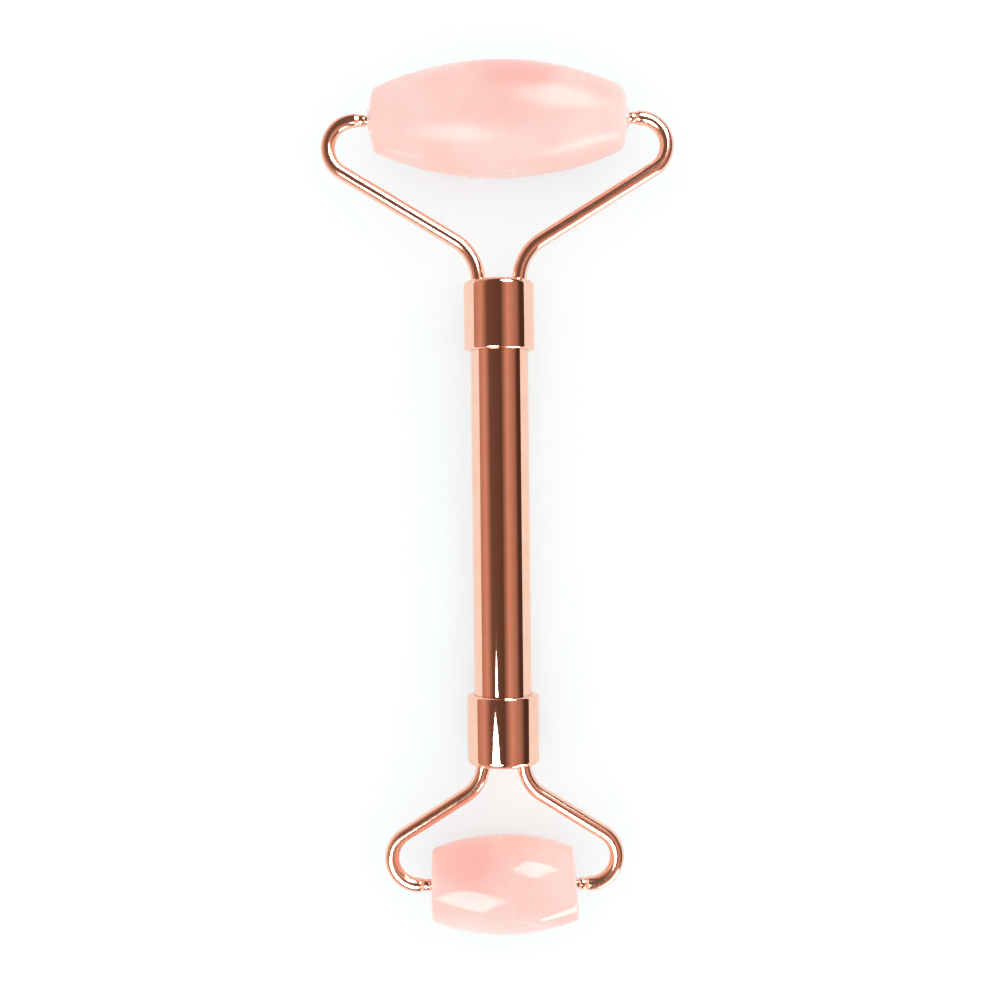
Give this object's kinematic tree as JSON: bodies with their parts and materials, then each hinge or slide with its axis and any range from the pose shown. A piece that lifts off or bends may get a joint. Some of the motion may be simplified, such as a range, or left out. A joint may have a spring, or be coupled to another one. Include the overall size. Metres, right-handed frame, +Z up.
{
  "type": "face roller",
  "caption": "Two-headed facial roller: a large and a small polished stone barrel that spin in wire forks on a slim rose-gold metal handle.",
  "frame": {"origin": "on the surface that the roller lies on, under the middle of its bounding box", "axes": "+Y along the handle towards the large stone, +X along both axles, +Z up from the surface"},
  "size_m": [0.0586, 0.1452, 0.0193],
  "materials": {
    "handle_tube": "mirror-polished rose-gold plating",
    "collar": "mirror-polished rose-gold plating",
    "fork_wire": "spring wire with mirror-polished rose-gold plating",
    "spacer": "polished rose-gold plating",
    "end_plug": "turned, unplated",
    "liner": "drawn tube, unplated",
    "bush": "moulded nylon",
    "stone": "polished rose quartz, slightly cloudy"
  },
  "bodies": {
    "handle": {"handle_tube": "handle_tube", "large_collar": "collar", "small_collar": "collar", "large_end_plug": "end_plug", "small_end_plug": "end_plug", "large_arm_left": "fork_wire", "large_arm_right": "fork_wire", "small_arm_left": "fork_wire", "small_arm_right": "fork_wire", "large_spacer_left": "spacer", "large_spacer_right": "spacer", "small_spacer_left": "spacer", "small_spacer_right": "spacer"},
    "large_roller": {"large_stone": "stone", "large_liner": "liner", "large_bush_left": "bush", "large_bush_right": "bush"},
    "small_roller": {"small_stone": "stone", "small_liner": "liner", "small_bush_left": "bush", "small_bush_right": "bush"}
  },
  "joints": [
    {"name": "large_spin", "type": "hinge", "parent": "handle", "child": "large_roller", "pos_m": [0, 0.06295, 0.00965], "axis": [1, 0, 0], "continuous": true},
    {"name": "small_spin", "type": "hinge", "parent": "handle", "child": "small_roller", "pos_m": [0, -0.06435, 0.00825], "axis": [1, 0, 0], "continuous": true}
  ]
}
